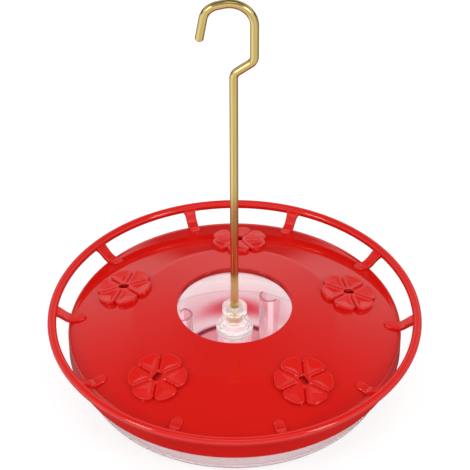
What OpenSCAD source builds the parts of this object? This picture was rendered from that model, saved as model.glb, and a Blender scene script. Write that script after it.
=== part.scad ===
// Saucer hummingbird feeder: a clear nectar bowl with an ant moat in its middle,
// a conical cover with five flower ports and a perch ring, and a swivelling
// hanger rod held in a clear hub. Millimetres, +Z up, origin at the centre of
// the bowl's base.

/* [Bowl] */
// Outer radius of the bowl's upright rim
bowl_r = 91.4; // [80:0.2:110]
// Height of the rim above the table
bowl_h = 28.6; // [24:0.2:34]
// Wall and floor thickness
bowl_wall = 2.2; // [1.6:0.1:3]
// Lean of the lower wall from upright, degrees
bowl_lean = 20; // [12:1:28]
// Height at which the leaning wall turns upright
bowl_knee_z = 17.3; // [13:0.1:20]
// Outer radius of the round between wall and floor
bowl_corner_r = 9; // [5:0.5:12]
// Width of the ring that the bowl stands on
foot_w = 10.8; // [4:0.2:20]
// Depth of the relief inside that ring
foot_relief = 0.6; // [0.3:0.1:0.9]

/* [Ant moat] */
// Inner radius of the moat wall
moat_r = 34.2; // [30:0.1:42]
// Thickness of the moat wall
moat_wall = 2; // [1.4:0.1:2.6]
// How much narrower the moat is at its floor than at its top
moat_taper = 3.4; // [0:0.1:5]
// Thickness of the moat's own floor, which sits on the bowl's floor
moat_floor = 1.2; // [0.8:0.1:2]
// Number of half-round wells on the moat wall
well_count = 3; // [2:1:5]
// Bearing of the first well, degrees
well_bearing = 51; // [45:1:60]
// Outer radius of a well
well_r = 5.9; // [4.5:0.1:6.5]
// Wall of a well
well_wall = 1.5; // [1.1:0.1:1.8]
// Distance from the moat wall's inner face in to a well's axis
well_in = 3.9; // [3:0.1:6]
// Drop from the moat wall's top to a well's open mouth
well_drop = 9.25; // [5:0.25:16]
// Bore radius of the centre column
column_bore_r = 6.4; // [5.4:0.1:8]
// Wall of the centre column
column_wall = 3.3; // [2.6:0.1:4.5]
// Drop of the centre column's top below the bowl's rim
column_drop = 1; // [0:0.1:3]

/* [Cover] */
// Gap between the bowl's rim and the skirt
skirt_gap = 0.9; // [0.5:0.1:2]
// Depth of the skirt below the cover's outer edge
skirt_drop = 14; // [11:0.5:20]
// Rise of the cover's outer edge above the bowl's rim
cover_rise = 4.4; // [3.6:0.1:7]
// Radius of the rounded outer edge
cover_edge_round = 2.5; // [1.5:0.1:3]
// Slope of the cone, degrees
cover_slope = 13.1; // [9:0.1:15]
// Thickness of plate and skirt
cover_wall = 2; // [1.5:0.1:2.2]
// How far the lip round the opening overhangs the moat
hole_overhang = 1.9; // [1.2:0.1:4]
// Depth of the lip round that opening
cover_lip = 3.3; // [2.6:0.1:3.6]
// Radius on the lip's upper edge
cover_lip_round = 0.7; // [0.4:0.1:0.9]

/* [Perch ring] */
// Clear gap between the skirt and the ring
perch_gap = 6.25; // [4:0.25:14]
// Rise of the ring's centre line above the cover's outer edge
perch_rise = 6.7; // [4:0.1:10]
// Radius of the ring's round section
perch_tube_r = 2.5; // [1.8:0.1:3.2]
// Number of arms
arm_count = 10; // [5:5:15]
// Width of an arm
arm_w = 6; // [4.5:0.1:7.5]
// Thickness of an arm
arm_t = 3; // [2.2:0.1:3.8]
// How far an arm runs in over the cover from its edge
arm_in = 9.7; // [8:0.1:13]
// Radius of the peg under each arm
peg_r = 1.9; // [1.4:0.1:2.4]
// Distance of the pegs from the cover's edge
peg_in = 5.7; // [5:0.1:6.4]

/* [Flower ports] */
// Number of feeding ports
port_count = 5; // [5:1:5]
// Bearing of the first port, degrees
port_bearing = 18; // [0:18:36]
// Distance of a port's centre from the cover's edge
port_in = 26.9; // [25:0.1:32]
// Reach of a petal's tip from the port's centre
petal_tip_r = 16.4; // [14:0.1:17.4]
// Reach of the notch between two petals
notch_r = 13; // [12:0.1:13.8]
// Height of a petal's edge above the cover
petal_h = 2.4; // [2:0.1:4]
// Depth of the hollow in a petal
petal_dish = 0.8; // [0.4:0.1:1.1]
// Width of the raised border round that hollow
petal_border = 1.2; // [0.8:0.1:1.6]
// Depth of the groove between two petals
groove_d = 1.3; // [0.8:0.1:1.6]
// Width of that groove at the petal's edge
groove_w = 1.9; // [1:0.1:2.6]
// Length of the slot that takes the beak
slot_l = 5.6; // [4.6:0.1:6]
// Width of that slot
slot_w = 3.2; // [2.4:0.1:4]
// Outer radius of the spigot under a port
spigot_r = 5; // [4.4:0.1:6]
// Length of that spigot below the cover's top face
spigot_l = 6.6; // [5.5:0.1:7.5]
// Wall of that spigot
spigot_wall = 1.3; // [1:0.1:1.5]
// Wall of the soft guard that closes a spigot
guard_wall = 1.2; // [0.8:0.1:1.6]
// Radius of the hole in a guard's floor
guard_hole_r = 1.3; // [0.8:0.1:1.8]

/* [Hub] */
// Wall of the swivel cap
cap_wall = 1.9; // [1.4:0.1:3]
// Thickness of the cap's bored roof
cap_roof = 4.7; // [2:0.1:6]
// Height of the narrower band at the cap's foot
cap_band_h = 3; // [1:0.1:5]
// Depth of the step above that band
cap_band_d = 0.4; // [0.2:0.1:0.8]
// Play between the nut and the cap's wall
nut_play = 0.5; // [0.4:0.1:1.5]
// Overhang of the hub plug's flange over the column
flange_over = 0.7; // [0:0.1:2]
// Thickness of that flange
flange_t = 3; // [2.4:0.1:6]
// Height of the neck between flange and cap
neck_h = 4.7; // [2:0.1:7]
// Overhang of the neck round the cap's foot
neck_over = 1; // [0.4:0.1:1.6]
// Height of the bead where the neck meets the flange
bead_h = 1.1; // [0.6:0.1:1.6]
// Height of the plug's boss inside the cap
cap_boss_h = 0.2; // [0.2:0.1:3]
// Wall of the plug's hollow spigot
plug_wall = 2.2; // [1.4:0.1:3]
// Length of the plug's spigot in the column
plug_l = 9; // [6:0.5:14]
// Radius of the seal's section
seal_r = 0.9; // [0.7:0.05:1]

/* [Hanger rod] */
// Radius of the brass rod
rod_r = 2.3; // [1.6:0.05:2.8]
// Straight length of the rod above the cap
rod_rise = 152.9; // [100:0.1:240]
// Offset of the hook's upright leg
hook_offset = 10.7; // [9:0.1:13]
// Lean of the slanted stretch from upright, degrees
jog_lean = 53; // [45:1:60]
// Bend radius at both ends of the slanted stretch
jog_r = 5.4; // [4.5:0.1:6]
// Length of the hook's upright leg
hook_leg = 18.5; // [14:0.5:30]
// Radius of the hook's crown
crown_r = 12.6; // [11:0.1:15]
// Turn of the crown, degrees
crown_turn = 105; // [95:1:110]
// Straight stretch after the crown
crown_run = 3.4; // [1:0.1:6]
// Bend radius at the hook's shoulder
shoulder_r = 9.5; // [7:0.1:11]
// Turn of the shoulder, degrees
shoulder_turn = 65; // [60:1:70]
// Length of the straight tip
tip_l = 12.4; // [8:0.2:18]
// Chamfer on the end of the tip
tip_chamfer = 0.8; // [0.3:0.1:1.2]
// Wall of the nut on the rod's lower end, out to its corners
nut_wall = 2.3; // [1.8:0.1:3.4]
// Thickness of that nut
nut_t = 3.6; // [2.6:0.1:5]
// Thickness of the washer above the nut
washer_t = 0.8; // [0.5:0.1:1]

/* [Fits] */
// Gap between seated pieces of one moulding
seat_gap = 0.05; // [0.02:0.01:0.1]
// Radial clearance of the rod in the cap
swivel_fit = 0.05; // [0.02:0.01:0.09]
// Radial clearance of the cover on the bowl and on the moat wall
cover_fit = 0.4; // [0.3:0.05:0.6]
// Gap between pieces that only face each other
face_gap = 0.3; // [0.2:0.05:0.4]

/* [Hidden] */
$fn = 64;

RED = "#d41f16";
CLEAR = [0.90, 0.86, 0.87, 0.45];
BRASS = "#c9a24c";
SILICONE = "#e6e1de";

PETALS = 6;
PETAL_CUTS = 8;
petal_step = 360 / PETALS;

// Bowl profile: the floor round's centre follows from the wall's lean
bowl_in_r = bowl_r - bowl_wall;
corner_tan_z = bowl_corner_r * (1 - sin(bowl_lean));
bowl_base_r = bowl_r - bowl_corner_r * cos(bowl_lean)
    - (bowl_knee_z - corner_tan_z) * tan(bowl_lean);
foot_in_r = bowl_base_r - foot_w;

// Moat cup
moat_out_r = moat_r + moat_wall;
moat_z = bowl_wall + moat_floor;
well_axis_r = moat_r - well_in;
column_r = column_bore_r + column_wall;
column_h = bowl_h - column_drop;

// Cover cone: the top face is tangent to the rounded outer edge
skirt_in_r = bowl_r + skirt_gap;
cover_r = skirt_in_r + cover_wall;
cover_edge_z = bowl_h + cover_rise;
skirt_z = cover_edge_z - skirt_drop;
cover_hole_r = moat_r - hole_overhang;
edge_c_r = cover_r - cover_edge_round;
edge_c_z = cover_edge_z - cover_edge_round;
edge_tan_r = edge_c_r + cover_edge_round * sin(cover_slope);
plate_drop = cover_wall / cos(cover_slope);
lip_c_r = cover_hole_r + cover_lip_round;
lip_c_z = cone_z(lip_c_r) - cover_lip_round / cos(cover_slope);
lip_z = cone_z(cover_hole_r) - cover_lip;
moat_h = cone_z(moat_out_r) - plate_drop - face_gap;
moat_floor_r = moat_r - moat_taper * (moat_h - moat_z) / (moat_h - bowl_wall);
well_h = moat_h - well_drop;
locate_r = bowl_in_r - cover_fit;
locate_t = 2;
locate_drop = 3;
collar_t = 1.6;
collar_drop = 4;

// Perch ring, its arms and their pegs
perch_r = cover_r + perch_gap + perch_tube_r;
perch_z = cover_edge_z + perch_rise;
arm_root_r = cover_r - arm_in;
peg_at_r = cover_r - peg_in;
arm_step = 360 / arm_count;
arm_out_r = perch_r;
arm_out_z = perch_z - perch_tube_r + arm_t / 2;
arm_in_z = cone_z(arm_root_r);
peg_z = bowl_h + 0.9;

// Port plug-in
port_at_r = cover_r - port_in;
port_step = 360 / port_count;
boss_r = spigot_r + 2.2;
guard_in_r = spigot_r + seat_gap;
guard_r = guard_in_r + guard_wall;
guard_top = cover_wall + 0.6;
guard_floor = spigot_l + seat_gap;

// Hub stack, from the column up to the cap's top
flange_r = column_r + flange_over;
flange_z = column_h + seal_r;
flange_top_z = flange_z + flange_t;
seal_ring_r = column_bore_r + column_wall / 2;
cap_foot_z = flange_top_z + neck_h;
hub_boss_z = cap_foot_z + cap_boss_h;
rod_foot_z = hub_boss_z + face_gap;
nut_z = rod_foot_z + 0.2;
nut_top_z = nut_z + nut_t;
nut_r = rod_r + nut_wall;
cap_pocket_r = nut_r + nut_play;
cap_r = cap_pocket_r + cap_wall;
cap_roof_z = nut_top_z + washer_t + 0.1;
cap_top_z = cap_roof_z + cap_roof;

// Rod path
rod_lap = 0.1;
rod_step = 0.01;
rod_bend_z = cap_top_z + rod_rise;
jog_run = (hook_offset - 2 * jog_r * (1 - cos(jog_lean))) / sin(jog_lean);

function cone_z(r) =
    edge_c_z + cover_edge_round / cos(cover_slope) + (edge_c_r - r) * tan(cover_slope);

// Puts its children on the cone's top face, local X pointing down the slope
module on_cone(bearing, r) {
    rotate([0, 0, bearing])
        translate([r, 0, cone_z(r)])
            rotate([0, cover_slope, 0])
                children();
}

// Everything below the cover's top face, raised by a gap
module under_cone(gap) {
    rotate_extrude()
        polygon([
            [0, 0],
            [cover_r, 0],
            [cover_r, cone_z(cover_r) + gap],
            [0, cone_z(0) + gap]
        ]);
}

// ---- Bowl ----

// Half section of the outside (inset 0) or of the inside (inset = wall)
module bowl_section(inset) {
    corner = bowl_corner_r - inset;
    tan_r = bowl_base_r + corner * cos(bowl_lean);
    tan_z = bowl_corner_r - corner * sin(bowl_lean);
    top = inset == 0 ? bowl_h : bowl_h + 1;
    polygon([
        [0, inset],
        [bowl_base_r, inset],
        [tan_r, tan_z],
        [bowl_r - inset, tan_z + (bowl_r - inset - tan_r) / tan(bowl_lean)],
        [bowl_r - inset, top],
        [0, top]
    ]);
    translate([bowl_base_r, bowl_corner_r])
        circle(r = corner);
}

module bowl() {
    color(CLEAR)
        difference() {
            rotate_extrude()
                difference() {
                    bowl_section(0);
                    bowl_section(bowl_wall);
                }
            // shallow relief, so the bowl stands on an outer ring
            translate([0, 0, -1])
                cylinder(r = foot_in_r, h = 1 + foot_relief);
        }
}

// ---- Moat cup ----

module well_outline() {
    translate([well_axis_r, 0])
        circle(r = well_r);
    translate([well_axis_r, -well_r])
        square([well_in + moat_wall / 2, 2 * well_r]);
}

module well_hollow() {
    translate([well_axis_r, 0])
        circle(r = well_r - well_wall);
    translate([well_axis_r, well_wall - well_r])
        square([well_in, 2 * (well_r - well_wall)]);
}

// The moat's tapered space, out to a radius at its top
module moat_space(top_r) {
    translate([0, 0, bowl_wall])
        cylinder(r1 = top_r - moat_taper, r2 = top_r, h = moat_h - bowl_wall);
}

// A half-round well, open at a mouth that slants down towards the wall
module well() {
    intersection() {
        moat_space(moat_out_r - moat_wall / 2);
        difference() {
            translate([0, 0, moat_z - moat_floor / 2])
                linear_extrude(well_h - moat_z + moat_floor / 2)
                    well_outline();
            translate([0, 0, moat_z])
                linear_extrude(well_h)
                    well_hollow();
            translate([well_axis_r, -well_r - 1, well_h])
                rotate([0, 40, 0])
                    cube([2 * well_r, 2 * well_r + 2, well_r]);
        }
    }
}

module moat_cup() {
    color(CLEAR)
        difference() {
            union() {
                rotate_extrude()
                    polygon([
                        [0, bowl_wall],
                        [moat_out_r - moat_taper, bowl_wall],
                        [moat_out_r, moat_h],
                        [moat_r, moat_h],
                        [moat_floor_r, moat_z],
                        [column_r, moat_z],
                        [column_r, column_h],
                        [0, column_h]
                    ]);
                for (i = [0 : well_count - 1])
                    rotate([0, 0, well_bearing + i * 360 / well_count])
                        well();
            }
            translate([0, 0, moat_z])
                cylinder(r = column_bore_r, h = column_h);
        }
}

// ---- Cover ----

module cover_section() {
    // conical plate
    polygon([
        [lip_c_r, cone_z(lip_c_r)],
        [edge_tan_r, cone_z(edge_tan_r)],
        [edge_tan_r, cone_z(edge_tan_r) - plate_drop],
        [lip_c_r, cone_z(lip_c_r) - plate_drop]
    ]);
    // rounded outer edge
    intersection() {
        translate([edge_c_r, edge_c_z])
            circle(r = cover_edge_round);
        translate([edge_c_r, edge_c_z])
            square(2 * cover_edge_round);
    }
    // skirt
    translate([skirt_in_r, skirt_z])
        square([cover_wall, edge_c_z - skirt_z]);
    // seat on the bowl's rim, and the ring that centres the cover in it
    polygon([
        [locate_r - locate_t, bowl_h - locate_drop],
        [locate_r, bowl_h - locate_drop],
        [locate_r, bowl_h],
        [skirt_in_r + cover_wall / 2, bowl_h],
        [edge_c_r, cone_z(edge_c_r) - cover_wall / 2],
        [locate_r - locate_t, cone_z(locate_r - locate_t) - cover_wall / 2]
    ]);
    // lip round the opening
    translate([lip_c_r, lip_c_z])
        circle(r = cover_lip_round);
    translate([cover_hole_r, lip_z])
        square([2 * cover_lip_round, lip_c_z - lip_z]);
    // collar outside the moat wall
    translate([moat_out_r + cover_fit, moat_h - collar_drop])
        square([collar_t, collar_drop + plate_drop / 2]);
}

module cover() {
    color(RED) {
        difference() {
            union() {
                rotate_extrude()
                    cover_section();
                // bosses that stiffen the plate round each port
                for (i = [0 : port_count - 1])
                    on_cone(port_bearing + i * port_step, port_at_r)
                        translate([0, 0, -guard_top + 0.1])
                            cylinder(r = boss_r, h = guard_top - 0.1 - cover_wall / 2);
            }
            // holes for the ports' spigots
            for (i = [0 : port_count - 1])
                on_cone(port_bearing + i * port_step, port_at_r)
                    translate([0, 0, -spigot_l])
                        cylinder(r = spigot_r + seat_gap, h = 2 * spigot_l);
            // sockets for the perch arms' pegs
            for (i = [0 : arm_count - 1])
                rotate([0, 0, i * arm_step])
                    translate([peg_at_r, 0, peg_z - seat_gap])
                        cylinder(r = peg_r + seat_gap, h = cover_edge_z);
        }
    }
}

// ---- Perch ring ----

// Side view of an arm: a strip between two arcs, low at the root
module arm_side() {
    rise = arm_out_z - arm_in_z;
    run = arm_out_r - arm_root_r;
    sweep_r = (run * run + rise * rise) / (2 * rise);
    intersection() {
        difference() {
            translate([arm_root_r, arm_in_z + sweep_r])
                circle(r = sweep_r + arm_t / 2);
            translate([arm_root_r, arm_in_z + sweep_r])
                circle(r = sweep_r - arm_t / 2);
        }
        translate([arm_root_r, 0])
            square([run, 2 * arm_out_z]);
    }
}

// Top view of an arm: flared into the ring and rounded at the root
module arm_plan() {
    translate([arm_root_r + arm_w / 2, 0])
        circle(d = arm_w);
    translate([arm_root_r + arm_w / 2, -arm_w / 2])
        square([arm_out_r - arm_root_r - arm_w / 2, arm_w]);
}

module perch_ring() {
    color(RED) {
        rotate_extrude()
            translate([perch_r, perch_z])
                circle(r = perch_tube_r);
        for (i = [0 : arm_count - 1])
            rotate([0, 0, i * arm_step])
                difference() {
                    union() {
                        intersection() {
                            rotate([90, 0, 0])
                                linear_extrude(2 * arm_w, center = true)
                                    arm_side();
                            linear_extrude(2 * perch_z)
                                arm_plan();
                        }
                    }
                    under_cone(seat_gap);
                }
        for (i = [0 : arm_count - 1])
            rotate([0, 0, i * arm_step])
                translate([peg_at_r, 0, peg_z])
                    cylinder(r = peg_r, h = cone_z(peg_at_r) + arm_t / 2 - peg_z);
    }
}

// ---- Flower ports ----

// Edge of the flower: wide round petals with a notch at each groove
function petal_reach(turn) =
    notch_r + (petal_tip_r - notch_r) * (1 - pow(abs(turn) / (petal_step / 2), 4));

module flower_outline() {
    polygon([
        for (p = [0 : PETALS - 1])
            for (k = [-PETAL_CUTS : PETAL_CUTS - 1])
                let (turn = k * petal_step / (2 * PETAL_CUTS))
                petal_reach(turn) * [cos(p * petal_step + turn), sin(p * petal_step + turn)]
    ]);
}

// Outline of the hollow inside a petal's raised border
module hollow_outline() {
    side = groove_w / 2 + petal_border;
    fan = petal_step / 2 - asin(side / (notch_r - petal_border));
    root_r = slot_l / 2 + petal_border + 2;
    root_y = root_r * tan(petal_step / 2) - side / cos(petal_step / 2);
    polygon([
        [root_r, root_y],
        [root_r, -root_y],
        for (k = [-PETAL_CUTS : PETAL_CUTS])
            let (turn = k * fan / PETAL_CUTS)
            (petal_reach(turn) - petal_border) * [cos(turn), sin(turn)]
    ]);
}

// The hollow falls from both sides to a valley along the petal
module petal_hollow() {
    half = petal_tip_r / 2;
    intersection() {
        translate([0, 0, petal_h - petal_dish])
            linear_extrude(petal_h)
                hollow_outline();
        translate([0, 0, petal_h])
            rotate([90, 0, 90])
                linear_extrude(petal_tip_r)
                    polygon([
                        [0, -petal_dish],
                        [half, -petal_dish * 0.1],
                        [half, petal_h],
                        [-half, petal_h],
                        [-half, -petal_dish * 0.1]
                    ]);
    }
}

module slot_outline(extra) {
    for (side = [-1, 1])
        translate([side * (slot_l - slot_w) / 2, 0])
            circle(d = slot_w + 2 * extra);
    square([slot_l - slot_w, slot_w + 2 * extra], center = true);
}

module flower_port(i) {
    color(RED)
        difference() {
            union() {
                difference() {
                    on_cone(port_bearing + i * port_step, port_at_r)
                        translate([0, 0, -petal_h])
                            linear_extrude(2 * petal_h)
                                flower_outline();
                    under_cone(seat_gap);
                }
                on_cone(port_bearing + i * port_step, port_at_r)
                    translate([0, 0, -spigot_l])
                        cylinder(r = spigot_r, h = spigot_l + petal_h / 2);
            }
            on_cone(port_bearing + i * port_step, port_at_r) {
                // grooves between the petals
                for (p = [0 : PETALS - 1])
                    rotate([0, 0, (p + 0.5) * petal_step])
                        translate([slot_l / 2 + 1, 0, petal_h])
                            rotate([90, 0, 90])
                                linear_extrude(petal_tip_r)
                                    polygon([[-groove_w / 2, 0.01], [0, -groove_d], [groove_w / 2, 0.01]]);
                for (p = [0 : PETALS - 1])
                    rotate([0, 0, p * petal_step])
                        petal_hollow();
                // beak slot with a stepped mouth, open into the spigot
                translate([0, 0, -0.5])
                    linear_extrude(2 * petal_h)
                        slot_outline(0);
                translate([0, 0, petal_h / 2])
                    linear_extrude(petal_h)
                        slot_outline(0.7);
                translate([0, 0, -spigot_l - 1])
                    cylinder(r = spigot_r - spigot_wall, h = spigot_l + 1);
            }
        }
}

module nectar_guard(i) {
    color(SILICONE)
        on_cone(port_bearing + i * port_step, port_at_r)
            difference() {
                translate([0, 0, -guard_floor - guard_wall])
                    cylinder(r = guard_r, h = guard_floor + guard_wall - guard_top);
                translate([0, 0, -guard_floor])
                    cylinder(r = guard_in_r, h = guard_floor);
                translate([0, 0, -guard_floor - guard_wall - 1])
                    cylinder(r = guard_hole_r, h = guard_wall + 2);
            }
}

// ---- Hub ----

module hub_plug() {
    color(CLEAR)
        difference() {
            union() {
                // flange, bead and neck under the cap
                translate([0, 0, flange_z])
                    cylinder(r = flange_r, h = flange_t);
                translate([0, 0, flange_top_z])
                    cylinder(r = (flange_r + cap_r + neck_over) / 2, h = bead_h);
                translate([0, 0, flange_top_z])
                    cylinder(r = cap_r + neck_over, h = neck_h);
                // boss inside the cap
                translate([0, 0, flange_top_z])
                    cylinder(r = cap_pocket_r - seat_gap, h = hub_boss_z - flange_top_z);
                // spigot in the column
                translate([0, 0, column_h - plug_l])
                    cylinder(r = column_bore_r - seat_gap, h = plug_l + flange_t / 2);
            }
            // groove for the seal
            rotate_extrude()
                translate([seal_ring_r, column_h + seal_r - 0.02])
                    circle(r = seal_r);
            // cored out from below
            translate([0, 0, column_h - plug_l - 1])
                cylinder(r = column_bore_r - plug_wall, h = plug_l + 1);
        }
}

module hub_seal() {
    color(SILICONE)
        rotate_extrude()
            translate([seal_ring_r, column_h + seal_r])
                circle(r = seal_r - seat_gap);
}

module swivel_cap() {
    round_r = 0.7;
    color(CLEAR)
        difference() {
            rotate_extrude()
                union() {
                    translate([0, cap_foot_z])
                        square([cap_r - cap_band_d, cap_band_h + 0.5]);
                    translate([0, cap_foot_z + cap_band_h])
                        square([cap_r, cap_top_z - round_r - cap_foot_z - cap_band_h]);
                    translate([0, cap_foot_z + cap_band_h])
                        square([cap_r - round_r, cap_top_z - cap_foot_z - cap_band_h]);
                    translate([cap_r - round_r, cap_top_z - round_r])
                        circle(r = round_r);
                }
            translate([0, 0, cap_foot_z - 1])
                cylinder(r = cap_pocket_r, h = cap_roof_z - cap_foot_z + 1);
            cylinder(r = rod_r + swivel_fit, h = 2 * cap_top_z);
        }
}

// ---- Hanger ----

// A straight stretch, lapped into the bends at its ends, with what follows
module run(l) {
    translate([0, 0, -rod_lap])
        cylinder(r = rod_r - rod_step, h = l + 2 * rod_lap);
    translate([0, 0, l])
        children();
}

// A bend towards +X, or towards -X when the turn is negative
module bend(turn, r) {
    a = abs(turn);
    flip = turn < 0 ? 180 : 0;
    rotate([0, 0, flip]) {
        translate([r, 0, 0])
            rotate([90, 0, 180])
                rotate_extrude(angle = a)
                    translate([r, 0])
                        circle(r = rod_r);
        translate([r - r * cos(a), 0, r * sin(a)])
            rotate([0, a, 0])
                rotate([0, 0, -flip])
                    children();
    }
}

module hanger_rod() {
    color(BRASS)
        translate([0, 0, rod_foot_z + rod_lap])
            run(rod_bend_z - rod_foot_z - rod_lap)
                bend(jog_lean, jog_r)
                    run(jog_run)
                        bend(-jog_lean, jog_r)
                            run(hook_leg)
                                bend(-crown_turn, crown_r)
                                    run(crown_run)
                                        bend(-shoulder_turn, shoulder_r)
                                            run(tip_l)
                                                cylinder(r1 = rod_r - rod_step, r2 = rod_r - tip_chamfer, h = tip_chamfer);
}

module rod_nut() {
    color(BRASS)
        translate([0, 0, nut_z])
            difference() {
                cylinder(r = nut_r, h = nut_t, $fn = 6);
                translate([0, 0, -1])
                    cylinder(r = rod_r + seat_gap / 2, h = nut_t + 2);
            }
}

module thrust_washer() {
    color(SILICONE)
        translate([0, 0, nut_top_z])
            difference() {
                cylinder(r = nut_r, h = washer_t);
                translate([0, 0, -1])
                    cylinder(r = rod_r + seat_gap, h = washer_t + 2);
            }
}

bowl();
moat_cup();
hub_plug();
hub_seal();
swivel_cap();
hanger_rod();
rod_nut();
thrust_washer();
cover();
perch_ring();
flower_port(0);  // flower_port_1
flower_port(1);  // flower_port_2
flower_port(2);  // flower_port_3
flower_port(3);  // flower_port_4
flower_port(4);  // flower_port_5
nectar_guard(0);  // nectar_guard_1
nectar_guard(1);  // nectar_guard_2
nectar_guard(2);  // nectar_guard_3
nectar_guard(3);  // nectar_guard_4
nectar_guard(4);  // nectar_guard_5
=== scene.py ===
# %% [markdown]
# # A saucer feeder for hummingbirds
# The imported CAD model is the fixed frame: every piece below is built in its space, in
# metres, with +Z up the hanger rod. The CAD pieces have the right sizes but flat facets
# and bare edges. So each visible piece is made again as a smooth mesh, because moulded
# plastic shows its quality in its small edge rounds.

# %% Load the frame
import math

import bmesh
import bpy
from mathutils import Matrix, Vector


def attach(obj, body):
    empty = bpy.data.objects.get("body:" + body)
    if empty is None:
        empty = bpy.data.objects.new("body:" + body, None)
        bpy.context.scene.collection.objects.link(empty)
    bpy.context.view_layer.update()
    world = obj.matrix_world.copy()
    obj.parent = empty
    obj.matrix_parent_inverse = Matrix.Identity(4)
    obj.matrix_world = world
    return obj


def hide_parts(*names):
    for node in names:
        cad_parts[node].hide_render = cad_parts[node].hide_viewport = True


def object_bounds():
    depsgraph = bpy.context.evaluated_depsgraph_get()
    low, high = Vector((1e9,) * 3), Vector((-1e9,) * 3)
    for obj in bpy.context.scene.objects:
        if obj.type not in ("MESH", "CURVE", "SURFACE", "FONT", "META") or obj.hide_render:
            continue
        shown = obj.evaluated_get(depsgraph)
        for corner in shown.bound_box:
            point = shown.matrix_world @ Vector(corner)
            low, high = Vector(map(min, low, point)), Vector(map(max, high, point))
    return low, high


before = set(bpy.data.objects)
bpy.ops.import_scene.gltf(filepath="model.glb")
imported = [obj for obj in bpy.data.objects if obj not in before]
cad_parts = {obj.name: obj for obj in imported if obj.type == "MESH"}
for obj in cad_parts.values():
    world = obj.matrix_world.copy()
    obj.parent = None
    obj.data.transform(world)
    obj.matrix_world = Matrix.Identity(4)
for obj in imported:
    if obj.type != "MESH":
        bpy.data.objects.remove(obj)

MM = 0.001
scene = bpy.context.scene
cad_low, cad_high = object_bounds()
cad_height = (cad_high - cad_low).z / MM
print("frame:", len(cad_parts), "nodes, height", round(cad_height, 1), "mm")

# %% [markdown]
# ## Camera
# A long lens, over a metre away, looks down at the feeder by 38 degrees, so the round
# cover shows as a calm oval and the rod stands straight. A short lens near by would
# swell the front petals and splay the rod. The camera turns about one axis at a time,
# which keeps its three angles readable; the tilt counts up from looking straight down.

# %% Set the camera
CAMERA_AT = (0.03615, -0.8344, 0.7507)
CAMERA_TILT, CAMERA_TURN, CAMERA_ROLL = 51.931, 2.454, -0.2
CAMERA_LENS, CAMERA_SENSOR = 148.46, 36


def into_scene(name, data):
    thing = bpy.data.objects.new(name, data)
    scene.collection.objects.link(thing)
    return thing


camera = into_scene("camera", bpy.data.cameras.new("camera"))
camera.data.sensor_width = CAMERA_SENSOR
camera.data.lens = CAMERA_LENS
camera.matrix_world = (Matrix.Translation(CAMERA_AT)
                       @ Matrix.Rotation(math.radians(CAMERA_TURN), 4, "Z")
                       @ Matrix.Rotation(math.radians(CAMERA_TILT), 4, "X")
                       @ Matrix.Rotation(math.radians(CAMERA_ROLL), 4, "Z"))
scene.camera = camera
print("camera:", round(camera.data.lens, 1), "mm lens at", CAMERA_AT)

# %% [markdown]
# ## Helpers for materials
# Colours are written as the hex values that a paint chart shows and turned to linear
# light once. One function adds a node, with its settings and its links.

# %% Colour and node helpers
def linear(hex_value):
    channels = [int(hex_value[i:i + 2], 16) / 255 for i in (1, 3, 5)]
    return tuple(c / 12.92 if c <= 0.04045 else ((c + 0.055) / 1.055) ** 2.4
                 for c in channels) + (1.0,)


def add(tree, kind, inputs=(), **settings):
    node = tree.nodes.new(kind)
    for name, value in settings.items():
        setattr(node, name, value)
    for socket, value in dict(inputs).items():
        if isinstance(value, bpy.types.NodeSocket):
            tree.links.new(value, node.inputs[socket])
        else:
            node.inputs[socket].default_value = value
    return node


def new_material(name):
    material = bpy.data.materials.new(name)
    material.use_nodes = True
    material.node_tree.nodes.clear()
    return material, material.node_tree


def set_ramp(ramp, levels):
    """A new ramp's stops: places from 0 to 1, each with a hex colour or a grey."""
    colours = [(at, linear(c) if isinstance(c, str) else (c, c, c, 1)) for at, c in levels]
    stops = ramp.color_ramp.elements
    for stop, (at, colour) in zip(stops, (colours[0], colours[-1])):
        stop.position, stop.color = at, colour
    for at, colour in colours[1:-1]:
        stops.new(at).color = colour


def per_metre(size_mm):
    """Scale of a texture whose features are this many millimetres apart."""
    return 1000 / size_mm


print("a mid red in linear light:", [round(c, 3) for c in linear("#cf1a13")])

# %% [markdown]
# ## Red moulded plastic
# The cover, the perch and the ports are injection moulded ABS with a high polish. The
# pigment is deep, the gloss is even, and only a slow waviness from the mould and a little
# handling haze break it up. The waviness is a bump of a few hundredths of a millimetre.
# Where light hardly reaches, in the beak slots, the grooves, round the ports' feet and
# under the cover's lip, the red is darkened: that is painted shade. The ports carry it as
# a vertex attribute, which other pieces lack. The cover also swells by two millimetres
# between its opening and its edge. Its outline hardly shows that, but its gloss does, so
# only the shading normal is crowned.

# %% Lip and crown of the cover
# the opening's wall takes painted shade, full at the first radius and none at the second
LIP_SHADE_R, LIP_LIGHT_R = 32.4, 32.9        # the lip's wall and its brim
CROWN_IN_R, CROWN_OUT_R = 33, 91
CROWN_AT, CROWN_BLEND = 0.42, 0.16           # share where it is highest, and how softly
# painted shade reds: one darkens the wall of the cover's opening, the other the ports' slots,
# grooves and feet
LIP_PAINTED_SHADE_RED, PAINTED_SHADE_RED = "#b40c09", "#9a0d09"


def painted_lip_shade(tree, radius, pigment_and_shade):
    """Painted shade: the red darkens on the wall of the cover's opening, where little light
    reaches.
    """
    lip = add(tree, "ShaderNodeMapRange",
              {"Value": radius, "From Min": LIP_LIGHT_R * MM, "From Max": LIP_SHADE_R * MM})
    return add(tree, "ShaderNodeMix",
               {"Factor": lip.outputs["Result"], 6: pigment_and_shade, 7: linear(LIP_PAINTED_SHADE_RED)},
               data_type="RGBA").outputs[2]


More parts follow.
